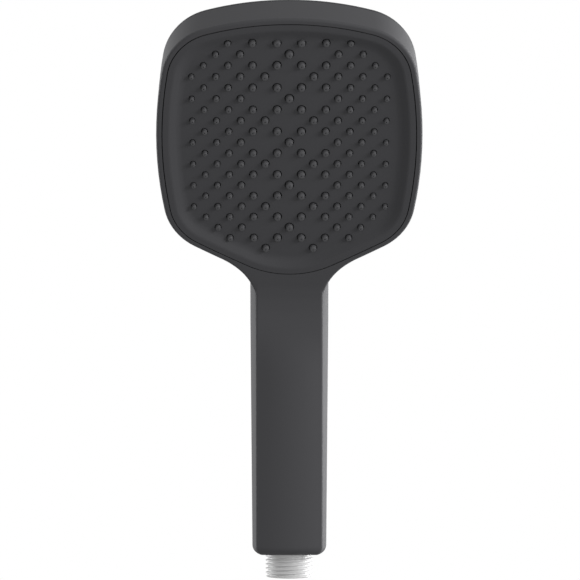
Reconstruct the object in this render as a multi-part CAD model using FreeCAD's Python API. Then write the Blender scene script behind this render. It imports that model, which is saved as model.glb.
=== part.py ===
import FreeCAD, Part
import math
import os

os.makedirs("parts", exist_ok=True)

# Handheld shower head. Millimetres, +Z up along the handle, spray side towards -Y.
# The origin is on the handle's axis at the open end of the threaded inlet.
V = FreeCAD.Vector

# ---- face and head ----
tilt = 30.0  # lean of the spray face from upright, degrees
face_y = -50.9  # front plane of the rim, level with the middle of the nozzle field
face_z = 186.3
plate_half_width = 53.9  # middle of the seam around the faceplate
plate_top = 57.9
top_radius = 131.0
side_radius = 183.0
side_rise = 2.5  # the widest place is this far above the middle of the field
lower_slope = 27.74  # rise of the lower edges, degrees
lower_distance = 58.6
lower_radius = 600.0
corner_radius = 22.7
bottom_radius = 40.9
seam = 0.4
rim_width = 2.55
rim_round = 1.2
shell_wall = 2.2
head_wall_depth = 18.4  # depth of the straight outer wall
head_depth = 24.0
cover_round = 5.4  # rounding of the rear edge
cover_wall = 2.0
lip_length = 3.0
lip_wall = 1.2

# ---- spray face ----
plate_depth = 3.8
recess_border = 2.7
recess_slope = 3.9
recess_depth = 2.2
pitch = 5.13  # half of the distance between nozzle columns
nozzle_rows = 20
hole_radius_mid = 2.05
hole_radius_edge = 1.3
edge_column = 8
nozzle_proud = 1.2
root_share = 0.84  # of the hole's radius, at the mat
tip_share = 0.7
tip_round = 0.5  # of the tip's radius
outlet_radius = 0.35

# ---- water chamber ----
ledge_thickness = 2.0
stack_inset = 4.4  # mat, jet plate and seal, in from the seam
mat_thickness = 1.2
jet_thickness = 2.0
jet_radius = 0.75
seal_thickness = 1.2
seal_width = 1.1
chamber_wall = 2.0
chamber_depth = 5.3
flange_inset = 0.5
part_gap = 0.2
screw_inset = 2.2
screw_radius = 1.1
screw_head_radius = 1.9
screw_head_height = 1.5
screw_skin = 1.4
slot_width = 0.5
slot_depth = 0.7
screw_shares = ((1, 0.35), (3, 0.2), (3, 0.85), (5, 0.45))  # arc of the outline, share along it
lug_radius = 2.0
waterway_depth = 15.0  # axis of the chamber's inlet, behind the rim plane
inlet_wall = 1.55
inlet_start = -69.0  # mouth and end of the chamber's inlet, along the face
inlet_end = -36.0

# ---- handle ----
handle_bottom = 10.4
handle_front = 14.0  # distance of the front face from the axis
front_half_width = 14.4
half_width_top = 17.2
half_width_bottom = 16.25
widest_behind = 10.0  # from the front face back to the widest place
back_depth = 27.6
bend_radius = 30.0  # front surface, between handle and face
ridge_length = 42.0  # the round back fades out up the back of the head
ridge_end_depth = 22.0
bore_radius = 11.2
floor_thickness = 5.0
bottom_round = 4.0

# ---- neck ----
flare_start = 30.0  # half width where the lower edge turns into the neck
flare_length = 15.5
neck_foot = 6.0
neck_wall_depth = 10.0
shoulder_inset = 6.0

# ---- inlet and waterway ----
thread_radius = 20.955 / 2  # G 1/2
thread_pitch = 1.814
thread_depth = 1.162
crest_width = 0.35
thread_end = 10.0
lead_chamfer = 0.45
floor_gap = 0.08
shank_radius = 10.35
flange_height = 2.6
stem_wall = 1.6
stem_top = 38.0
cartridge_radius = 7.6
cartridge_gap = 0.1
cartridge_top = 24.0
passage_radius = 4.2
tube_radius = 5.5
tube_bore = 3.5
tube_bottom = 26.5
elbow_straight = 13.25  # from the tube's top up to where the elbow starts to bend
socket_gap = 0.05
socket_wall = 2.45
socket_length = 11.5
spigot_radius = 4.8
spigot_bore = 3.0
spigot_end = -54.0
elbow_radius = 16.0
cord = 1.0  # section of every O-ring
groove_width = 1.4
groove_clearance = 0.05
brace_middle = 66.0
brace_height = 8.0
brace_spokes = 3

# ---- cartridges in the inlet ----
screen_bottom = 0.6
screen_height = 1.8
screen_hole = 0.55
screen_pitch = 1.5
regulator_bottom = 2.6
regulator_height = 6.0
regulator_floor = 1.4
post_radius = 2.4
regulator_cord = 2.2
regulator_holes = 8
regulator_hole = 0.9
valve_bottom = 8.8
valve_wall = 1.5
seat_overlap = 1.5  # of the poppet's washer on the seat
seat_height = 2.4
seat_gap = 0.15
washer_height = 0.8
poppet_clearance = 0.9  # round the poppet, in the valve's bore
poppet_height = 1.0
nose_radius = 1.8
guide_radius = 1.5
guide_gap = 0.06
stem_short = 1.0  # the shut poppet's stem ends this far below the cage's top
cage_height = 4.6
cage_spokes = 4
spring_wire = 0.25
spring_radius = 2.3
spring_turns = 4.5


def cylinder(radius, low, high):
    """Round bar on the Z axis between two heights."""
    return Part.makeCylinder(radius, high - low, V(0, 0, low))


def tube(outer, inner, low, high):
    """Round tube on the Z axis."""
    return cylinder(outer, low, high).cut(cylinder(inner, low, high))


def cone(low_radius, high_radius, low, high):
    return Part.makeCone(low_radius, high_radius, high - low, V(0, 0, low))


def o_ring(bore, height):
    """Round-section ring that touches a bore of this radius."""
    return Part.makeTorus(bore - cord / 2, cord / 2, V(0, 0, height))


def groove(bore, height):
    """Cutter for the groove of an O-ring that seals in a bore of this radius."""
    floor = bore - cord - groove_clearance
    return tube(bore + 1, floor, height - groove_width / 2, height + groove_width / 2)


def in_head(shape):
    """Move a shape from face coordinates (right, up the face, out of the face) to its place."""
    moved = shape.copy()
    moved.Placement = FreeCAD.Placement(V(0, face_y, face_z), FreeCAD.Rotation(V(1, 0, 0), 90 + tilt))
    return moved


# ---- outline of the head, in face coordinates ----


def crossing(first, first_radius, second, second_radius, side):
    """Crossing of two circles, on the chosen side of the line between their centres."""
    line = second - first
    along = (first_radius ** 2 - second_radius ** 2 + line.Length ** 2) / (2 * line.Length)
    across = math.sqrt(first_radius ** 2 - along ** 2)
    line.normalize()
    return first + line * along + V(-line.y, line.x, 0) * (across * side)


def heading(start, end):
    """Direction from one point to another, degrees."""
    return math.degrees(math.atan2(end.y - start.y, end.x - start.x))


def outline_centres():
    """Centres of the right half's arcs: lower edge, lower corner, side, upper corner, top, bottom."""
    slope = math.radians(lower_slope)
    lower = V(math.sin(slope), -math.cos(slope), 0) * (lower_distance - lower_radius)
    side = V(plate_half_width - side_radius, side_rise, 0)
    top = V(0, plate_top - top_radius, 0)
    lower_reach = lower_radius - corner_radius
    side_reach = side_radius - corner_radius
    low_corner = crossing(side, side_reach, lower, lower_reach, -1)
    up_corner = crossing(top, top_radius - corner_radius, side, side_reach, -1)
    drop = math.sqrt((lower_radius - bottom_radius) ** 2 - lower.x ** 2)
    bottom = V(0, lower.y - drop, 0)
    return lower, low_corner, side, up_corner, top, bottom


def right_arcs():
    """Right half of the seam, from the bottom up: centre, radius, first and last angle of each arc."""
    lower, low_corner, side, up_corner, top, bottom = outline_centres()
    lower_start = heading(lower, bottom)
    lower_end = heading(lower, low_corner)
    side_start = heading(side, low_corner)
    side_end = heading(side, up_corner)
    top_start = heading(top, up_corner)
    return [
        (bottom, bottom_radius, -90, lower_start),
        (lower, lower_radius, lower_start, lower_end),
        (low_corner, corner_radius, lower_end, side_start),
        (side, side_radius, side_start, side_end),
        (up_corner, corner_radius, side_end, top_start),
        (top, top_radius, top_start, 90),
    ]


def arc(centre, radius, first, last):
    circle = Part.Circle(centre, V(0, 0, 1), radius)
    return Part.ArcOfCircle(circle, math.radians(first), math.radians(last)).toShape()


def outline(grow, depth=0.0):
    """Closed outline of the head, grown outwards from the seam, at a depth behind the rim plane."""
    edges = []
    for centre, radius, first, last in right_arcs():
        here = V(centre.x, centre.y, -depth)
        mirrored = V(-centre.x, centre.y, -depth)
        edges.append(arc(here, radius + grow, first, last))
        edges.append(arc(mirrored, radius + grow, 180 - last, 180 - first))
    return Part.Wire(Part.sortEdges(edges)[0])


def slab(grow, front, back):
    """Plate in the shape of the head outline between two depths."""
    return Part.Face(outline(grow, back)).extrude(V(0, 0, back - front))


def screw_spots():
    """Centres of the chamber screws: two on the top edge, two on each side, one on each lower edge."""
    arcs = right_arcs()
    spots = []
    for index, share in screw_shares:
        centre, radius, first, last = arcs[index]
        angle = math.radians(first + (last - first) * share)
        reach = radius - screw_inset
        spot = V(centre.x + reach * math.cos(angle), centre.y + reach * math.sin(angle), 0)
        spots.append(spot)
        spots.append(V(-spot.x, spot.y, 0))
    return spots


def bars(spots, radius, front, back):
    """Round bars of one radius at a list of spots on the face."""
    return [Part.makeCylinder(radius, back - front, V(spot.x, spot.y, -back)) for spot in spots]


# ---- nozzle field ----


def columns(row):
    """Column numbers of the nozzles in one row, right half."""
    reach = {0: 6, 1: 6, nozzle_rows - 3: 6, nozzle_rows - 2: 6, nozzle_rows - 1: 2}.get(row, edge_column)
    if row % 2 == 0:
        numbers = [1, 3, 5, 7]
    elif row % 4 == 1:
        numbers = [0, 4, 6, 8]
    else:
        numbers = [2, 4, 6, 8]
    return [number for number in numbers if number <= reach]


def nozzle_spots():
    """Every nozzle: its place on the face and the radius of its hole, which shrinks towards the sides."""
    spots = []
    for row in range(nozzle_rows):
        up = ((nozzle_rows - 1) / 2 - row) * pitch
        for number in columns(row):
            radius = hole_radius_mid + (hole_radius_edge - hole_radius_mid) * number / edge_column
            for side in ((1,) if number == 0 else (-1, 1)):
                spots.append((side * number * pitch, up, radius))
    return spots


# ---- outer form ----


def handle_section(half_width, depth, height):
    """Face across the handle at one height: flat front, sides flaring back, round back."""
    widest = widest_behind - handle_front
    spread = half_width - front_half_width
    bow = (widest_behind ** 2 + spread ** 2) / (2 * spread)
    middle_x = half_width - bow + math.sqrt(bow ** 2 - (widest_behind / 2) ** 2)
    corner = V(front_half_width, -handle_front, height)
    middle = V(middle_x, widest - widest_behind / 2, height)
    wide = V(half_width, widest, height)
    back = V(0, depth - handle_front, height)
    left = [V(-point.x, point.y, height) for point in (corner, middle, wide)]
    edges = [
        Part.makeLine(left[0], corner),
        Part.Arc(corner, middle, wide).toShape(),
        Part.Arc(wide, back, left[2]).toShape(),
        Part.Arc(left[2], left[1], left[0]).toShape(),
    ]
    return Part.Face(Part.Wire(edges))


def bend_line():
    """Height of the bend axis, which lies in front of the neck, and its distance from the handle's axis."""
    crossing_height = face_z + (face_y + handle_front) / math.tan(math.radians(tilt))
    height = crossing_height - bend_radius * math.tan(math.radians(tilt / 2))
    return height, -handle_front - bend_radius


def leaned(shape, along):
    """Swing a shape from the top of the straight handle round the bend and on up the back of the head."""
    height, axis_y = bend_line()
    moved = shape.copy()
    moved.rotate(V(0, axis_y, height), V(1, 0, 0), tilt)
    slope = math.radians(tilt)
    moved.translate(V(0, -math.sin(slope), math.cos(slope)) * along)
    return moved


def flat_at(edge, level):
    """Whether an edge lies wholly at one height."""
    box = edge.BoundBox
    return abs(box.ZMin - level) < 1e-6 and abs(box.ZMax - level) < 1e-6


def spans(edge):
    """How far an edge's ends are apart to the right and up."""
    step = edge.valueAt(edge.LastParameter) - edge.valueAt(edge.FirstParameter)
    return abs(step.x), math.hypot(step.y, step.z)


def handle_form():
    """Handle with its bend and the round back that fades into the head."""
    height, axis_y = bend_line()
    low = handle_section(half_width_bottom, back_depth, handle_bottom)
    high = handle_section(half_width_top, back_depth, height)
    fade = handle_section(half_width_top, ridge_end_depth, height)
    straight = Part.makeLoft([low.OuterWire, high.OuterWire], True, True)
    bend = high.revolve(V(0, axis_y, height), V(1, 0, 0), tilt)
    ridge = Part.makeLoft([leaned(high, 0).OuterWire, leaned(fade, ridge_length).OuterWire], True, True)
    form = straight.fuse(bend).fuse(ridge)
    corners = []
    for edge in form.Edges:
        across, along = spans(edge)
        at_corner = abs(abs(edge.valueAt(edge.FirstParameter).x) - front_half_width) < 1e-4
        if at_corner and across < 1e-4 and along > bend_radius / 3:
            corners.append(edge)
    form = form.makeFillet(rim_round, corners)
    return form.makeFillet(bottom_round, [edge for edge in form.Edges if flat_at(edge, handle_bottom)])


def corner_waste(low, high):
    """Cutter that takes a rear corner off the neck along the line between two points."""
    along = high - low
    inward = V(-shoulder_inset, 0, neck_wall_depth - head_depth)
    corners = [low + along * a + inward * b for a, b in ((-1, -2), (3, -2), (3, 4), (-1, 4))]
    outward = inward.cross(along).normalize()
    if outward.x < 0:
        outward = -outward
    return Part.Face(Part.makePolygon(corners + corners[:1])).extrude(outward * head_depth * 2)


def neck_form():
    """Neck in face coordinates: curves from the head's lower edges into the handle, rear corners cut off."""
    lower = outline_centres()[0]
    radius = lower_radius + rim_width
    start = V(flare_start, lower.y - math.sqrt(radius ** 2 - (flare_start - lower.x) ** 2), 0)
    slope = (start.x - lower.x) / (lower.y - start.y)
    bend = V(front_half_width, start.y - (start.x - front_half_width) * slope, 0)
    end = V(front_half_width, bend.y - flare_length, 0)
    foot = V(front_half_width, end.y - neck_foot, 0)
    inward = (V(lower.x, lower.y, 0) - start).normalize()
    inner = start + inward * (2 * cover_round)
    left = [V(-point.x, point.y, 0) for point in (start, bend, end, foot, inner)]
    right_curve = Part.BezierCurve()
    right_curve.setPoles([start, bend, end])
    left_curve = Part.BezierCurve()
    left_curve.setPoles([left[2], left[1], left[0]])
    edges = [
        Part.makeLine(inner, start),
        right_curve.toShape(),
        Part.makeLine(end, foot),
        Part.makeLine(foot, left[3]),
        Part.makeLine(left[3], left[2]),
        left_curve.toShape(),
        Part.makeLine(left[0], left[4]),
        Part.makeLine(left[4], inner),
    ]
    block = Part.Face(Part.Wire(edges)).extrude(V(0, 0, -head_depth))
    low = V(front_half_width, foot.y, -neck_wall_depth)
    high = V(flare_start, start.y + cover_round / 2, cover_round - head_depth)
    block = block.cut(corner_waste(low, high))
    block = block.cut(corner_waste(low, high).mirror(V(0, 0, 0), V(1, 0, 0)))
    rounded = []
    for edge in block.Edges:
        across, along = spans(edge)
        below_head = edge.BoundBox.YMax < start.y + seam
        if flat_at(edge, 0) and along > 1 and below_head:
            rounded.append(edge)
    return block.makeFillet(rim_round, rounded)


def outer_form():
    """Whole outside of head, neck and handle as one solid."""
    head = slab(rim_width, 0, head_depth)
    head = head.makeFillet(cover_round, [edge for edge in head.Edges if flat_at(edge, -head_depth)])
    head = head.makeFillet(rim_round, [edge for edge in head.Edges if flat_at(edge, 0)])
    return in_head(head.fuse(neck_form())).fuse(handle_form()).removeSplitter().Solids[0]


# ---- shells ----


def handle_bore():
    """Round hollow through the handle, the bend and the neck, open into the head."""
    height, axis_y = bend_line()
    disc = Part.Face(Part.Wire(Part.makeCircle(bore_radius, V(0, 0, height))))
    straight = cylinder(bore_radius, handle_bottom + floor_thickness, height)
    bend = disc.revolve(V(0, axis_y, height), V(1, 0, 0), tilt)
    cavity_edge = bottom_of(rim_width - shell_wall)
    slope = math.radians(tilt)
    bend_end = (face_y + handle_front) / math.sin(slope) + bend_radius * math.tan(slope / 2)
    length = cavity_edge - bend_end + shell_wall
    run = Part.makeCylinder(bore_radius, length, V(0, bend_end, -handle_front), V(0, 1, 0))
    run = run.cut(slab(rim_width - shell_wall, 0, plate_depth + ledge_thickness))
    return straight.fuse(bend).fuse(in_head(run))


def bottom_of(grow):
    """Lowest point of the head outline, grown outwards from the seam, along the face."""
    return outline_centres()[5].y - bottom_radius - grow


def body_shell(form):
    """Front housing: rim, straight outer wall, ledge for the faceplate, neck and handle in one moulding."""
    ledge_back = plate_depth + ledge_thickness
    hollows = [
        slab(seam / 2, -1, plate_depth),
        slab(part_gap - stack_inset, plate_depth - 1, ledge_back + 1),
        slab(rim_width - shell_wall, ledge_back, head_wall_depth + 1),
        slab(rim_width + seam, head_wall_depth, head_depth + cover_round),
    ]
    hollows += bars(screw_spots(), screw_radius + part_gap, plate_depth - 1, ledge_back + 1)
    shell = form
    for hollow in hollows:
        shell = shell.cut(in_head(hollow))
    shell = shell.cut(handle_bore())
    floor_bore = thread_radius + floor_gap
    return shell.cut(cylinder(floor_bore, handle_bottom - 1, handle_bottom + floor_thickness + 1)).Solids[0]


def rear_cover(form):
    """Back of the head: snaps into the wall with a lip, arched over the chamber's inlet."""
    start = head_wall_depth + seam
    outer = form.common(in_head(slab(rim_width + seam / 3, start, head_depth + cover_round)))
    inner = slab(rim_width - shell_wall, start - 1, head_depth - cover_wall)
    inner_edges = [edge for edge in inner.Edges if flat_at(edge, cover_wall - head_depth)]
    inner = inner.makeFillet(cover_round - shell_wall, inner_edges)
    lip_grow = rim_width - shell_wall - part_gap
    lip_front = head_wall_depth - lip_length
    lip_root = head_depth - cover_wall / 2
    lip = slab(lip_grow, lip_front, lip_root).cut(slab(lip_grow - lip_wall, lip_front - 1, lip_root + 1))
    arch = Part.makeCylinder(
        inlet_radius() + 2 * part_gap,
        -inlet_end - inlet_start,
        V(0, inlet_start * 2 - inlet_end, -waterway_depth),
        V(0, 1, 0),
    )
    cover = outer.cut(in_head(inner)).fuse(in_head(lip)).cut(in_head(arch))
    return max(cover.Solids, key=lambda solid: solid.Volume)


# ---- spray face and chamber ----


def faceplate():
    """Spray plate: raised border, sloping edge, flat field with a hole for every nozzle."""
    plate = slab(-seam / 2, 0, plate_depth)
    top_edge = outline(-seam / 2 - recess_border)
    low_edge = outline(-seam / 2 - recess_border - recess_slope, recess_depth)
    plate = plate.cut(Part.makeLoft([top_edge, low_edge], True, True))
    holes = [Part.makeCylinder(radius, plate_depth, V(x, y, -plate_depth)) for x, y, radius in nozzle_spots()]
    pilots = bars(screw_spots(), screw_radius, screw_skin, plate_depth)
    return in_head(plate.cut(Part.makeCompound(holes + pilots))).Solids[0]


def nozzle_length():
    """From the mat's front face to the nozzle's tip."""
    return plate_depth - recess_depth + nozzle_proud


def nozzle(x, y, radius):
    """One nozzle for a hole of this radius: tapered pillar with a rounded tip."""
    tip = radius * tip_share
    pillar = Part.makeCone(radius * root_share, tip, nozzle_length(), V(x, y, -plate_depth))
    end = [edge for edge in pillar.Edges if flat_at(edge, nozzle_length() - plate_depth)]
    return pillar.makeFillet(tip * tip_round, end)


def nozzle_mat():
    """Soft mat behind the plate with one hollow tapered nozzle through every hole."""
    back = plate_depth + mat_thickness
    mat = slab(-stack_inset, plate_depth, back)
    mat = mat.fuse([nozzle(x, y, radius) for x, y, radius in nozzle_spots()])
    depth = nozzle_length() + mat_thickness
    outlets = [Part.makeCylinder(outlet_radius, depth, V(x, y, -back)) for x, y, radius in nozzle_spots()]
    return in_head(mat.cut(Part.makeCompound(outlets))).Solids[0]


def jet_plate():
    """Stiff plate behind the mat that feeds water to every nozzle."""
    front = plate_depth + mat_thickness
    plate = slab(-stack_inset, front, front + jet_thickness)
    spots = [V(x, y, 0) for x, y, radius in nozzle_spots()]
    jets = bars(spots, jet_radius, front, front + jet_thickness)
    return in_head(plate.cut(Part.makeCompound(jets))).Solids[0]


def chamber_front():
    """Depth of the open side of the water chamber."""
    return plate_depth + mat_thickness + jet_thickness + seal_thickness


def chamber_seal():
    back = chamber_front()
    ring = slab(-stack_inset, back - seal_thickness, back)
    return in_head(ring.cut(slab(-stack_inset - seal_width, back - seal_thickness - 1, back + 1)))


def inlet_radius():
    """Outer radius of the chamber's inlet."""
    return spigot_radius + socket_gap + inlet_wall


def chamber_back():
    """Back half of the water chamber, with its screw flange, lugs and the inlet along its back."""
    front = chamber_front()
    shell_inset = screw_inset + screw_head_radius + part_gap
    body = slab(-flange_inset, front, front + chamber_wall)
    body = body.fuse(slab(-shell_inset, front, front + chamber_depth + chamber_wall))
    pipe = V(0, inlet_start, -waterway_depth)
    length = inlet_end - inlet_start
    body = body.fuse(Part.makeCylinder(inlet_radius(), length + chamber_wall, pipe, V(0, 1, 0)))
    body = body.fuse(bars(screw_spots(), lug_radius, plate_depth + ledge_thickness, front))
    body = body.cut(slab(-stack_inset - seal_width, front - 1, front + chamber_depth))
    body = body.cut(Part.makeCylinder(spigot_radius + socket_gap, length, pipe, V(0, 1, 0)))
    holes = bars(screw_spots(), screw_radius + part_gap, plate_depth, front + chamber_wall + 1)
    return in_head(body.cut(Part.makeCompound(holes))).Solids[0]


def chamber_screws():
    """Eight equal screws that clamp the chamber through the ledge to the faceplate."""
    seat = chamber_front() + chamber_wall
    screws = []
    for spot in screw_spots():
        shank = bars([spot], screw_radius, screw_skin, seat)[0]
        head = bars([spot], screw_head_radius, seat, seat + screw_head_height)[0]
        corner = V(spot.x - screw_head_radius, spot.y - slot_width / 2, -seat - screw_head_height)
        slot = Part.makeBox(screw_head_radius * 2, slot_width, slot_depth, corner)
        screws.append(in_head(shank.fuse(head).cut(slot)).Solids[0])
    return Part.makeCompound(screws)


# ---- waterway ----


def elbow_points():
    """Middle line of the elbow: its corner, where the bend starts and ends, and the spigot's end."""
    slope = math.radians(tilt)
    up = V(0, -math.sin(slope), math.cos(slope))
    out = V(0, -math.cos(slope), -math.sin(slope))
    on_line = V(0, face_y, face_z) - out * waterway_depth
    corner = on_line + up * (on_line.y / math.sin(slope))
    leg = elbow_radius * math.tan(slope / 2)
    start = corner - V(0, 0, leg)
    end = corner + up * leg
    centre = start - V(0, elbow_radius, 0)
    middle = centre + V(0, math.cos(slope / 2), math.sin(slope / 2)) * elbow_radius
    tip = on_line + up * spigot_end
    return start, middle, end, tip


def elbow_run(radius, low):
    """Round bar of one radius along the elbow's middle line."""
    start, middle, end, tip = elbow_points()
    foot = V(0, 0, low)
    bend = Part.Arc(start, middle, end).toShape()
    path = Part.Wire([Part.makeLine(foot, start), bend, Part.makeLine(end, tip)])
    ring = Part.Wire(Part.makeCircle(radius, foot))
    return path.makePipeShell([ring], True, False)


def elbow():
    """Bent link from the water tube to the chamber: socket below, spigot with a seal groove above."""
    socket_top = tube_top() + part_gap
    socket_bottom = tube_top() - socket_length
    socket_outer = tube_radius + socket_gap + socket_wall
    body = elbow_run(spigot_radius, socket_top).fuse(cylinder(socket_outer, socket_bottom, socket_top + 2))
    body = body.cut(elbow_run(spigot_bore, socket_top - 1))
    body = body.cut(cylinder(tube_radius + socket_gap, socket_bottom, socket_top))
    return body.cut(on_spigot(groove(spigot_radius + socket_gap, 0))).Solids[0]


def on_spigot(shape):
    """Place a shape made round the origin on the spigot, across its axis."""
    slope = math.radians(tilt)
    start, middle, end, tip = elbow_points()
    moved = shape.copy()
    place = tip - V(0, -math.sin(slope), math.cos(slope)) * spigot_radius
    moved.Placement = FreeCAD.Placement(place, FreeCAD.Rotation(V(1, 0, 0), tilt))
    return moved


def tube_top():
    """Height of the water tube's upper end, below the elbow's bend."""
    return elbow_points()[0].z - elbow_straight


def seal_heights():
    """Heights of the O-rings near the two ends of the water tube."""
    return (tube_bottom + stem_top) / 2, tube_top() - socket_length / 2


def water_tube():
    body = tube(tube_radius, tube_bore, tube_bottom, tube_top())
    for height in seal_heights():
        body = body.cut(groove(tube_radius + socket_gap, height))
    return body


def tube_brace():
    """Spider that keeps the tube in the middle of the handle's bore."""
    low = brace_middle - brace_height / 2
    high = brace_middle + brace_height / 2
    outer = bore_radius - part_gap
    hub = tube_radius + socket_gap
    body = tube(outer, outer - lip_wall, low, high).fuse(tube(hub + lip_wall, hub, low, high))
    reach = outer - hub - lip_wall
    for turn in range(brace_spokes):
        spoke = Part.makeBox(reach, lip_wall, brace_height, V(hub + lip_wall / 2, -lip_wall / 2, low))
        spoke.rotate(V(0, 0, 0), V(0, 0, 1), 90 + 360 / brace_spokes * turn)
        body = body.fuse(spoke)
    return body.removeSplitter().Solids[0]


def thread_cutter():
    """Helical groove that leaves the ridges of the inlet's thread."""
    start = -2 * thread_pitch
    root = thread_radius - thread_depth
    beyond = thread_radius + thread_depth / 2
    half_top = (thread_pitch - crest_width) / 2
    flank = (half_top - crest_width / 2) / thread_depth
    half_beyond = half_top + flank * (beyond - thread_radius)
    corners = [
        V(root, 0, start - crest_width / 2),
        V(beyond, 0, start - half_beyond),
        V(beyond, 0, start + half_beyond),
        V(root, 0, start + crest_width / 2),
    ]
    profile = Part.makePolygon(corners + corners[:1])
    helix = Part.makeHelix(thread_pitch, thread_end - start, root)
    helix.translate(V(0, 0, start))
    return Part.Wire(helix).makePipeShell([profile], True, True)


def stem_radius():
    """Outer radius of the inlet's stem, round the cartridges."""
    return cartridge_radius + stem_wall


def inlet_fitting():
    """Threaded inlet that hangs by its flange on the handle's floor and holds the cartridges and the tube."""
    flange_bottom = handle_bottom + floor_thickness
    lead = cone(thread_radius - lead_chamfer, thread_radius + handle_bottom - lead_chamfer, 0, handle_bottom)
    body = cylinder(thread_radius, 0, handle_bottom).cut(thread_cutter()).common(lead)
    body = body.fuse(cylinder(shank_radius, thread_end, flange_bottom))
    body = body.fuse(cylinder(bore_radius - part_gap, flange_bottom, flange_bottom + flange_height))
    body = body.fuse(cylinder(stem_radius(), flange_bottom, stem_top))
    body = body.cut(cylinder(cartridge_radius, -1, cartridge_top))
    body = body.cut(cylinder(passage_radius, cartridge_top - 1, stem_top + 1))
    body = body.cut(cylinder(tube_radius + socket_gap, tube_bottom - part_gap, stem_top + 1))
    return body.cut(groove(thread_radius + floor_gap, handle_bottom + floor_thickness / 2)).Solids[0]


def lock_ring():
    """Split ring pressed into the bore above the inlet's flange."""
    low = handle_bottom + floor_thickness + flange_height
    ring = tube(bore_radius, stem_radius() + part_gap, low, low + lip_wall)
    return ring.cut(Part.makeBox(bore_radius * 2, lip_wall, lip_wall, V(0, -lip_wall / 2, low))).Solids[0]


# ---- cartridges in the inlet ----


def cartridge_outer():
    return cartridge_radius - cartridge_gap


def filter_screen():
    """Dirt screen: ring with a perforated disc."""
    disc_height = screen_height / 3
    body = tube(cartridge_outer(), cartridge_outer() - lip_wall, screen_bottom, screen_bottom + screen_height)
    body = body.fuse(cylinder(cartridge_outer(), screen_bottom, screen_bottom + disc_height))
    reach = cartridge_outer() - lip_wall - screen_hole
    holes = []
    steps = int(reach / screen_pitch) + 1
    for row in range(-steps, steps + 1):
        y = row * screen_pitch * math.sin(math.radians(60))
        for column in range(-steps, steps + 1):
            x = (column + row % 2 / 2) * screen_pitch
            if math.hypot(x, y) < reach:
                holes.append(Part.makeCylinder(screen_hole, screen_height, V(x, y, screen_bottom)))
    return body.cut(Part.makeCompound(holes)).Solids[0]


def regulator_body():
    """Flow regulator: perforated cup with a middle post for the rubber ring."""
    low = regulator_bottom
    top = low + regulator_height
    body = tube(cartridge_outer(), cartridge_outer() - lip_wall, low, top)
    body = body.fuse(cylinder(cartridge_outer(), low, low + regulator_floor))
    body = body.fuse(cylinder(post_radius, low, top - lip_wall))
    ring = (post_radius + cartridge_outer() - lip_wall) / 2
    holes = []
    for turn in range(regulator_holes):
        angle = 2 * math.pi * turn / regulator_holes
        place = V(ring * math.cos(angle), ring * math.sin(angle), low)
        holes.append(Part.makeCylinder(regulator_hole, regulator_floor + 1, place))
    return body.cut(Part.makeCompound(holes)).Solids[0]


def regulator_ring():
    """Rubber ring that closes in round the post as the pressure rises."""
    height = regulator_bottom + regulator_floor + regulator_cord / 2 + part_gap
    return Part.makeTorus(post_radius + regulator_cord / 2, regulator_cord / 2, V(0, 0, height))


def valve_bore():
    return cartridge_outer() - valve_wall


def poppet_radius():
    return valve_bore() - poppet_clearance


def seat_top():
    return valve_bottom + seat_height


def cage_bottom():
    return cartridge_top - part_gap - cage_height


def washer_bottom():
    """Underside of the poppet's washer with the valve shut."""
    return seat_top() + seat_gap


def poppet_top():
    """Top of the poppet's head with the valve shut."""
    return washer_bottom() + washer_height + poppet_height


def valve_housing():
    """Cartridge body with the valve seat and an outer seal groove."""
    seat_radius = poppet_radius() - seat_overlap
    body = tube(cartridge_outer(), valve_bore(), valve_bottom, cartridge_top - part_gap)
    body = body.fuse(tube(cartridge_outer(), seat_radius, valve_bottom, seat_top()))
    return body.cut(groove(cartridge_radius, valve_seal_height())).Solids[0]


def valve_seal_height():
    return (seat_top() + cage_bottom()) / 2


def valve_cage():
    """Spoked guide in the top of the cartridge for the poppet's stem and the spring."""
    low = cage_bottom()
    high = low + cage_height
    guide = guide_radius + guide_gap
    outer = valve_bore()
    body = tube(outer, outer - lip_wall, low, high)
    body = body.fuse(tube(spring_radius + spring_wire * 2, guide, low, high))
    reach = outer - lip_wall / 2 - spring_radius
    for turn in range(cage_spokes):
        spoke = Part.makeBox(reach, lip_wall, cage_height, V(spring_radius, -lip_wall / 2, low))
        spoke.rotate(V(0, 0, 0), V(0, 0, 1), 360 / cage_spokes * turn)
        body = body.fuse(spoke)
    return body.removeSplitter().Solids[0]


def valve_poppet():
    """Poppet: nose through the washer, round head and a stem that slides in the cage."""
    head_bottom = washer_bottom() + washer_height
    nose = cylinder(nose_radius, washer_bottom() - washer_height, head_bottom)
    head = cylinder(poppet_radius(), head_bottom, poppet_top())
    stem = cylinder(guide_radius, head_bottom, cage_bottom() + cage_height - stem_short)
    return nose.fuse(head).fuse(stem).removeSplitter()


def poppet_seal():
    low = washer_bottom()
    return tube(poppet_radius(), nose_radius, low, low + washer_height)


def valve_spring():
    """Light coil spring between the poppet's head and the cage."""
    low = poppet_top() + spring_wire
    high = cage_bottom() - spring_wire
    helix = Part.makeHelix((high - low) / spring_turns, high - low, spring_radius)
    helix.translate(V(0, 0, low))
    wire = Part.Wire(Part.makeCircle(spring_wire, V(spring_radius, 0, low), V(0, 1, 0)))
    return Part.Wire(helix).makePipeShell([wire], True, True)


def save(name, shape):
    shape.exportStep("parts/" + name + ".step")


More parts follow.
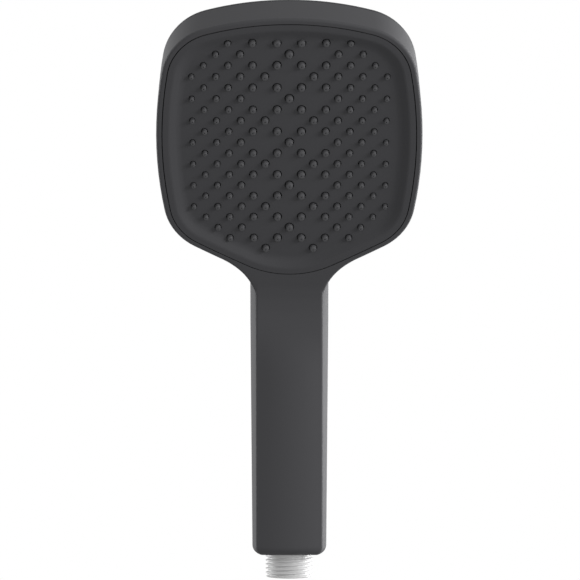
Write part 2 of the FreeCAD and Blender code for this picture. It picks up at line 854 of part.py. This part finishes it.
form = outer_form()
save("body_shell", body_shell(form))
save("rear_cover", rear_cover(form))
save("faceplate", faceplate())
save("nozzle_mat", nozzle_mat())
save("jet_plate", jet_plate())
save("chamber_seal", chamber_seal())
save("chamber_back", chamber_back())
save("chamber_screws", chamber_screws())
save("elbow", elbow())
save("elbow_seal", on_spigot(o_ring(spigot_radius + socket_gap, 0)))
save("water_tube", water_tube())
save("tube_seal_lower", o_ring(tube_radius + socket_gap, seal_heights()[0]))
save("tube_seal_upper", o_ring(tube_radius + socket_gap, seal_heights()[1]))
save("tube_brace", tube_brace())
save("inlet_fitting", inlet_fitting())
save("inlet_seal", o_ring(thread_radius + floor_gap, handle_bottom + floor_thickness / 2))
save("lock_ring", lock_ring())
save("filter_screen", filter_screen())
save("regulator_body", regulator_body())
save("regulator_ring", regulator_ring())
save("valve_housing", valve_housing())
save("valve_seal", o_ring(cartridge_radius, valve_seal_height()))
save("valve_cage", valve_cage())
save("valve_poppet", valve_poppet())
save("poppet_seal", poppet_seal())
save("valve_spring", valve_spring())
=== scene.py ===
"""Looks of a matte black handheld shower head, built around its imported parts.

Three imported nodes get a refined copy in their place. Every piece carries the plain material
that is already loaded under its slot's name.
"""

import logging
import math
from dataclasses import dataclass, field
from enum import Enum
from typing import Any

import bmesh
import bpy
from mathutils import Matrix, Vector


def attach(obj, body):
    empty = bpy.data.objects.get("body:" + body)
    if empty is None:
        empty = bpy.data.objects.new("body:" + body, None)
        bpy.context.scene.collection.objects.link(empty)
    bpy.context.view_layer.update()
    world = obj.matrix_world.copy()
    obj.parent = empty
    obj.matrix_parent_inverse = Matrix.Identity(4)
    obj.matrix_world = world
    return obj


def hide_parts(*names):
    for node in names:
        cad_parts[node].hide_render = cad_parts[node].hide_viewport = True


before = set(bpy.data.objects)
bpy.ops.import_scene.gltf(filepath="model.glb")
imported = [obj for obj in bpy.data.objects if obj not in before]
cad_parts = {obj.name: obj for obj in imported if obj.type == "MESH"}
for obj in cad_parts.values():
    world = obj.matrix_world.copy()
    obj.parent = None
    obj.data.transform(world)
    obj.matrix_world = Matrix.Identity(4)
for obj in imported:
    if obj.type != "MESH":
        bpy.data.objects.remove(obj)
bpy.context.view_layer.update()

LOG = logging.getLogger("shower")
MM = 0.001
BODY = "shower"
Triple = tuple[float, float, float]
QUAD = 4  # corners
NEUTRAL_WEIGHT = 50
STRONG_WEIGHT = 2 * NEUTRAL_WEIGHT  # large faces decide how a corner shades


class Slot(Enum):
    """Material slots of the pieces made here."""

    SHELL = "shell_black"
    PLATE = "plate_black"
    SILICONE = "silicone_black"


class Socket:
    """One output of a node tree. Python operators on it add Math nodes."""

    def __init__(self, graph: "Graph", output: bpy.types.NodeSocket) -> None:
        """Keep the tree and the output that this stands for."""
        self.graph = graph
        self.output = output

    def _math(self, operation: str, *values: Any) -> "Socket":
        """Add one Math node on the given values."""
        return self.graph.node("ShaderNodeMath", {"operation": operation}, dict(enumerate(values)))

    def __add__(self, other: Any) -> "Socket":
        """Sum."""
        return self._math("ADD", self, other)

    def __radd__(self, other: Any) -> "Socket":
        """Sum with a number on the left."""
        return self._math("ADD", other, self)

    def __sub__(self, other: Any) -> "Socket":
        """Difference."""
        return self._math("SUBTRACT", self, other)

    def __rsub__(self, other: Any) -> "Socket":
        """Difference from a number on the left."""
        return self._math("SUBTRACT", other, self)

    def __mul__(self, other: Any) -> "Socket":
        """Product."""
        return self._math("MULTIPLY", self, other)

    def __rmul__(self, other: Any) -> "Socket":
        """Product with a number on the left."""
        return self._math("MULTIPLY", other, self)

    def clamped(self, low: float, high: float) -> "Socket":
        """The value kept between two limits."""
        return self._math("MINIMUM", self._math("MAXIMUM", self, low), high)


class Graph:
    """Node tree of a material or of the world."""

    def __init__(self, tree: bpy.types.NodeTree) -> None:
        """Empty the tree so that only this file's nodes are in it."""
        self.tree = tree
        tree.nodes.clear()

    def node(
        self,
        kind: str,
        settings: dict[str, Any] | None = None,
        inputs: dict[Any, Any] | None = None,
        output: Any = 0,
    ) -> Socket:
        """Add a node.

        Args:
            kind: Blender's name of the node type.
            settings: Properties of the node, set first.
            inputs: Socket name or number to a number, a tuple or another Socket.
            output: Name or number of the output to return.

        Returns:
            The chosen output.
        """
        made = self.tree.nodes.new(kind)
        for name, value in (settings or {}).items():
            setattr(made, name, value)
        for name, value in (inputs or {}).items():
            if isinstance(value, Socket):
                self.tree.links.new(value.output, made.inputs[name])
            else:
                made.inputs[name].default_value = value
        return Socket(self, made.outputs[output] if len(made.outputs) else None)


@dataclass(frozen=True)
class FacePlane:
    """Plane of the spray face: leans forwards from upright about the X axis. Millimetres."""

    tilt: float = 30.0  # degrees
    rim_y: float = -50.9
    rim_z: float = 186.3

    def matrix(self) -> Matrix:
        """Turn face millimetres (right, up the face, out of the face) into the part's metres."""
        turn = Matrix.Rotation(math.radians(90 + self.tilt), 4, "X")
        return Matrix.Translation(Vector((0, self.rim_y, self.rim_z)) * MM) @ turn @ Matrix.Scale(MM, 4)


@dataclass
class Skin:
    """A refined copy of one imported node. Its shape is worked on in millimetres."""

    name: str
    node: str
    slot: Slot
    to_part: Matrix
    merge_distance: float = 0.001
    flat_angle: float = 0.0  # degrees; facets that turn less become one flat face

    def open(self) -> bmesh.types.BMesh:
        """Copy the node's mesh, merge its doubles and join its flat facets.

        Returns:
            The mesh in the skin's own coordinates.
        """
        mesh = bmesh.new()
        mesh.from_mesh(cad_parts[self.node].data)
        bmesh.ops.transform(mesh, matrix=self.to_part.inverted(), verts=mesh.verts)
        bmesh.ops.remove_doubles(mesh, verts=mesh.verts, dist=self.merge_distance)
        if self.flat_angle > 0:
            limit = math.radians(self.flat_angle)
            bmesh.ops.dissolve_limit(mesh, angle_limit=limit, verts=mesh.verts, edges=mesh.edges)
        return mesh

    def close(self, mesh: bmesh.types.BMesh, smooth_below: float) -> bpy.types.Object:
        """Make the object that stands for the node.

        Args:
            mesh: The finished shape. It is freed.
            smooth_below: Edges that turn less than this, in degrees, shade smooth.

        Returns:
            The object, riding on the shower's body.
        """
        bmesh.ops.transform(mesh, matrix=self.to_part, verts=mesh.verts)
        bmesh.ops.triangulate(mesh, faces=[face for face in mesh.faces if len(face.verts) > QUAD])
        limit = math.radians(smooth_below)
        for face in mesh.faces:
            face.smooth = True
        for edge in mesh.edges:
            edge.smooth = edge.calc_face_angle(0.0) < limit
        data = bpy.data.meshes.new(self.name)
        mesh.to_mesh(data)
        mesh.free()
        made = bpy.data.objects.new(self.name, data)
        bpy.context.scene.collection.objects.link(made)
        data.materials.append(bpy.data.materials[self.slot.value])
        shading = made.modifiers.new("shading", "WEIGHTED_NORMAL")
        shading.keep_sharp = True
        shading.weight = STRONG_WEIGHT
        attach(made, BODY)
        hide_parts(self.node)
        LOG.info("%s: %d faces", self.name, len(data.polygons))
        return made


def step_between(value: float, low: float, high: float) -> float:
    """Smooth step from 0 at low to 1 at high."""
    share = min(1.0, max(0.0, (value - low) / (high - low)))
    return share * share * (3 - 2 * share)


@dataclass
class Housing:
    """Front housing: its flat handle front gets the slight crown of a moulded grip."""

    crown: float = 2.1
    half_width: float = 13.5
    columns: int = 12
    fade_low: float = 92.0  # the crown fades out between these heights
    fade_high: float = 113.0
    rows: int = 20
    foot: float = 11.0
    front_y: float = -13.9  # the flat front
    free_y: float = -9.5  # nothing behind this depth moves
    slack: float = 0.6
    head_room: float = 5.0  # the cuts end this far above the fade
    merge: float = 1e-4  # a cut this close to a corner passes through it
    flat_angle: float = 0.05  # degrees
    smooth_below: float = 35.0  # degrees

    def _grip(self, mesh: bmesh.types.BMesh) -> list[Any]:
        """Faces of the handle's front with their edges and corners."""
        side = self.half_width + self.slack
        top = self.fade_high + self.head_room

        def on_front(place: Vector) -> bool:
            """Whether a corner lies on the front."""
            return place.y < self.free_y and abs(place.x) < side and place.z < top

        faces = [face for face in mesh.faces if all(on_front(vert.co) for vert in face.verts)]
        edges = {edge for face in faces for edge in face.edges}
        verts = {vert for face in faces for vert in face.verts}
        return [*faces, *edges, *verts]

    def _cut(self, mesh: bmesh.types.BMesh, place: Triple, normal: Triple) -> None:
        """Cut the front's faces along a plane."""
        bmesh.ops.bisect_plane(mesh, geom=self._grip(mesh), plane_co=place, plane_no=normal, dist=self.merge)

    def build(self) -> bpy.types.Object:
        """Make the housing.

        Returns:
            The housing's object.
        """
        to_part = Matrix.Scale(MM, 4)
        skin = Skin("front_housing", "body_shell", Slot.SHELL, to_part, flat_angle=self.flat_angle)
        mesh = skin.open()
        for index in range(1, self.columns):
            right = self.half_width * (2 * index / self.columns - 1)
            self._cut(mesh, (right, 0, 0), (1, 0, 0))
        for index in range(1, self.rows):
            height = self.foot + (self.fade_high - self.foot) * index / self.rows
            self._cut(mesh, (0, 0, height), (0, 0, 1))
        for vert in mesh.verts:
            across = 1 - (vert.co.x / self.half_width) ** 2
            if across > 0 and vert.co.z < self.fade_high:
                fade = 1 - step_between(vert.co.z, self.fade_low, self.fade_high)
                front = step_between(-vert.co.y, -self.free_y, -self.front_y)
                vert.co.y -= self.crown * across * fade * front
        return skin.close(mesh, self.smooth_below)


@dataclass
class SprayPlate:
    """Spray plate: soft crest and foot on its slope."""

    crest: float = 0.7  # how far the softening reaches from the slope's upper edge
    foot: float = 1.5  # the same from its lower edge
    recess: float = 2.2  # depth of the field behind the rim
    level: float = 0.02  # how far from its depth a corner may lie and still count
    slope_low: float = 20.0  # the slope turns between these angles, degrees
    slope_high: float = 40.0
    crest_segments: int = 3
    foot_segments: int = 4
    smooth_below: float = 50.0  # degrees

    def _loop(self, mesh: bmesh.types.BMesh, depth: float) -> list[bmesh.types.BMEdge]:
        """Edges of the slope at one depth behind the rim."""
        low = math.radians(self.slope_low)
        high = math.radians(self.slope_high)
        return [
            edge
            for edge in mesh.edges
            if all(abs(vert.co.z + depth) < self.level for vert in edge.verts)
            and low < edge.calc_face_angle(0.0) < high
        ]

    def _soften(self, mesh: bmesh.types.BMesh, depth: float, reach: float, segments: int) -> None:
        """Round the slope's edges at one depth behind the rim."""
        bmesh.ops.bevel(
            mesh,
            geom=self._loop(mesh, depth),
            offset=reach,
            offset_type="OFFSET",
            affect="EDGES",
            segments=segments,
            profile=0.5,
            material=-1,
            clamp_overlap=False,
        )

    def build(self) -> bpy.types.Object:
        """Make the plate.

        Returns:
            The plate's object.
        """
        skin = Skin("spray_plate", "faceplate", Slot.PLATE, FacePlane().matrix())
        mesh = skin.open()
        self._soften(mesh, 0.0, self.crest, self.crest_segments)
        self._soften(mesh, self.recess, self.foot, self.foot_segments)
        return skin.close(mesh, self.smooth_below)


@dataclass
class NozzleMat:
    """Soft mat: nozzles with a full round tip and a small outlet."""

    pitch: float = 5.13
    mat_depth: float = 3.8  # front of the mat behind the rim
    stretch: float = 1.08  # of the nozzles' height
    swell: float = 1.04  # of the nozzles' width at the tip
    lean: float = 0.38  # how far a soft tip hangs down the face
    outlet: float = 0.45  # outlets with radii under this, shrunk
    shrink: float = 0.6
    tall: float = 2.8  # height of a packed nozzle above the mat
    row_shift: float = 0.5  # rows lie this many pitches off the middle
    level: float = 0.01  # corners no higher than this belong to the mat and stay
    smooth_below: float = 60.0  # degrees

    def build(self) -> bpy.types.Object:
        """Make the mat.

        Returns:
            The mat's object.
        """
        skin = Skin("nozzles", "nozzle_mat", Slot.SILICONE, FacePlane().matrix())
        mesh = skin.open()
        for vert in mesh.verts:
            height = vert.co.z + self.mat_depth
            if height <= self.level:
                continue
            column = round(vert.co.x / self.pitch) * self.pitch
            row = (round(vert.co.y / self.pitch - self.row_shift) + self.row_shift) * self.pitch
            away = Vector((vert.co.x - column, vert.co.y - row, 0))
            share = min(1.0, height / self.tall)
            away *= self.shrink if away.length < self.outlet else 1 + (self.swell - 1) * share
            vert.co.x = column + away.x
            vert.co.y = row + away.y - self.lean * share
            vert.co.z = height * self.stretch - self.mat_depth
        return skin.close(mesh, self.smooth_below)


@dataclass(frozen=True)
class Lamp:
    """Square soft box. Millimetres and watts."""

    name: str
    place: Triple
    aim: Triple
    power: float
    size: float

    def hang(self) -> None:
        """Add the light to the scene."""
        light = bpy.data.lights.new(self.name, "AREA")
        light.energy = self.power
        light.size = self.size * MM
        made = bpy.data.objects.new(self.name, light)
        made.location = Vector(self.place) * MM
        made.rotation_mode = "QUATERNION"
        made.rotation_quaternion = (Vector(self.aim) - Vector(self.place)).to_track_quat("-Z", "Y")
        bpy.context.scene.collection.objects.link(made)


LAMPS = (
    Lamp("key", (1000, -620, 420), (0, -40, 120), 9.0, 500),
    Lamp("side_left", (-900, 420, 180), (0, 0, 120), 9.0, 600),
    Lamp("side_right", (900, 420, 120), (0, 0, 60), 14.5, 600),
)


@dataclass
class Studio:
    """White studio: bright surroundings, a key light from the right, two side lights and the camera."""

    eye: Vector = field(default_factory=lambda: Vector((0.29, -1186.0, 126.8)) * MM)
    lens: float = 166.16
    sensor: float = 36.0
    surround: float = 0.62  # strength of the white room as the part sees it
    behind: float = 0.02  # how much stronger it gets towards the back
    right: float = 0.10  # the same for right and left
    above: float = 0.13  # the same for above and below
    dimmest: float = 0.03
    brightest: float = 2.0
    floor_drop: float = 120.0  # the floor is this far below the part, millimetres
    floor_reach: float = 4.0  # from its middle, metres

    def world(self) -> None:
        """White room: the camera sees full white, and a softer white lights the part."""
        world = bpy.data.worlds.new("studio")
        bpy.context.scene.world = world
        world.use_nodes = True
        graph = Graph(world.node_tree)
        direction = graph.node("ShaderNodeTexCoord", output="Generated")
        x = graph.node("ShaderNodeSeparateXYZ", None, {"Vector": direction}, "X")
        y = graph.node("ShaderNodeSeparateXYZ", None, {"Vector": direction}, "Y")
        z = graph.node("ShaderNodeSeparateXYZ", None, {"Vector": direction}, "Z")
        room = self.surround + y * self.behind + x * self.right + z * self.above
        room = room.clamped(self.dimmest, self.brightest)
        seen = graph.node("ShaderNodeLightPath", output="Is Camera Ray")
        strength = room + seen * (1.0 - room)
        back = graph.node("ShaderNodeBackground", None, {"Color": (1, 1, 1, 1), "Strength": strength})
        graph.node("ShaderNodeOutputWorld", None, {"Surface": back})

    def floor(self) -> None:
        """Glowing white floor well below the part: it takes no shadow and lights nothing."""
        shape = bmesh.new()
        bmesh.ops.create_grid(shape, x_segments=1, y_segments=1, size=self.floor_reach)
        bmesh.ops.translate(shape, vec=(0, 0, -self.floor_drop * MM), verts=shape.verts)
        data = bpy.data.meshes.new("floor")
        shape.to_mesh(data)
        shape.free()
        floor = bpy.data.objects.new("floor", data)
        bpy.context.scene.collection.objects.link(floor)
        made = bpy.data.materials.new("floor_white")
        made.use_nodes = True
        graph = Graph(made.node_tree)
        glow = graph.node("ShaderNodeEmission", None, {"Color": (1, 1, 1, 1), "Strength": 1.0})
        graph.node("ShaderNodeOutputMaterial", None, {"Surface": glow})
        data.materials.append(made)
        for kind in ("visible_diffuse", "visible_glossy", "visible_shadow"):
            setattr(floor, kind, False)

    def camera(self) -> None:
        """Level camera in front of the part."""
        data = bpy.data.cameras.new("camera")
        data.lens = self.lens
        data.sensor_width = self.sensor
        made = bpy.data.objects.new("camera", data)
        made.location = self.eye
        made.rotation_euler = (math.radians(90), 0, 0)
        bpy.context.scene.collection.objects.link(made)
        bpy.context.scene.camera = made

    def build(self) -> None:
        """Set up the room, the lights and the camera."""
        self.world()
        self.floor()
        self.camera()
        for lamp in LAMPS:
            lamp.hang()
        view = bpy.context.scene.view_settings
        view.view_transform = "Standard"
        view.look = "None"


def main() -> None:
    """Build the refined pieces, then the studio."""
    logging.basicConfig(level=logging.INFO)
    Housing().build()
    SprayPlate().build()
    NozzleMat().build()
    Studio().build()


if __name__ == "__main__":
    main()
